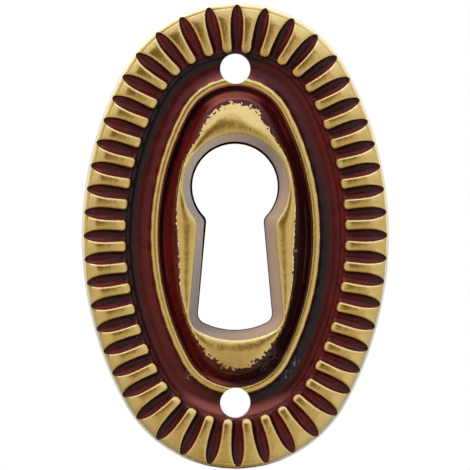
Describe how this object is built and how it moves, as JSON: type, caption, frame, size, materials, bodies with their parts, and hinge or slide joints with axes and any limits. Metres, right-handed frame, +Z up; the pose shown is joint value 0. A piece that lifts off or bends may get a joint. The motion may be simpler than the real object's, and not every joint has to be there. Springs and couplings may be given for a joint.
{
  "type": "keyhole escutcheon",
  "caption": "Upright oval cast keyhole plate with a fluted border, a thin ring, a raised collar round the keyhole and a screw hole above and below it.",
  "frame": {"origin": "midway between the two screw holes, on the plate's back plane", "axes": "+Z up along the plate's length and the line of the screw holes, -Y out of the front face, X across the plate"},
  "size_m": [0.03, 0.004, 0.0454],
  "materials": {
    "aged_brass": "cast, rubbed bright on the raised forms, with a glossy dark red-brown patina in the hollows"
  },
  "bodies": {
    "root": {"escutcheon_plate": "aged_brass"}
  },
  "joints": []
}
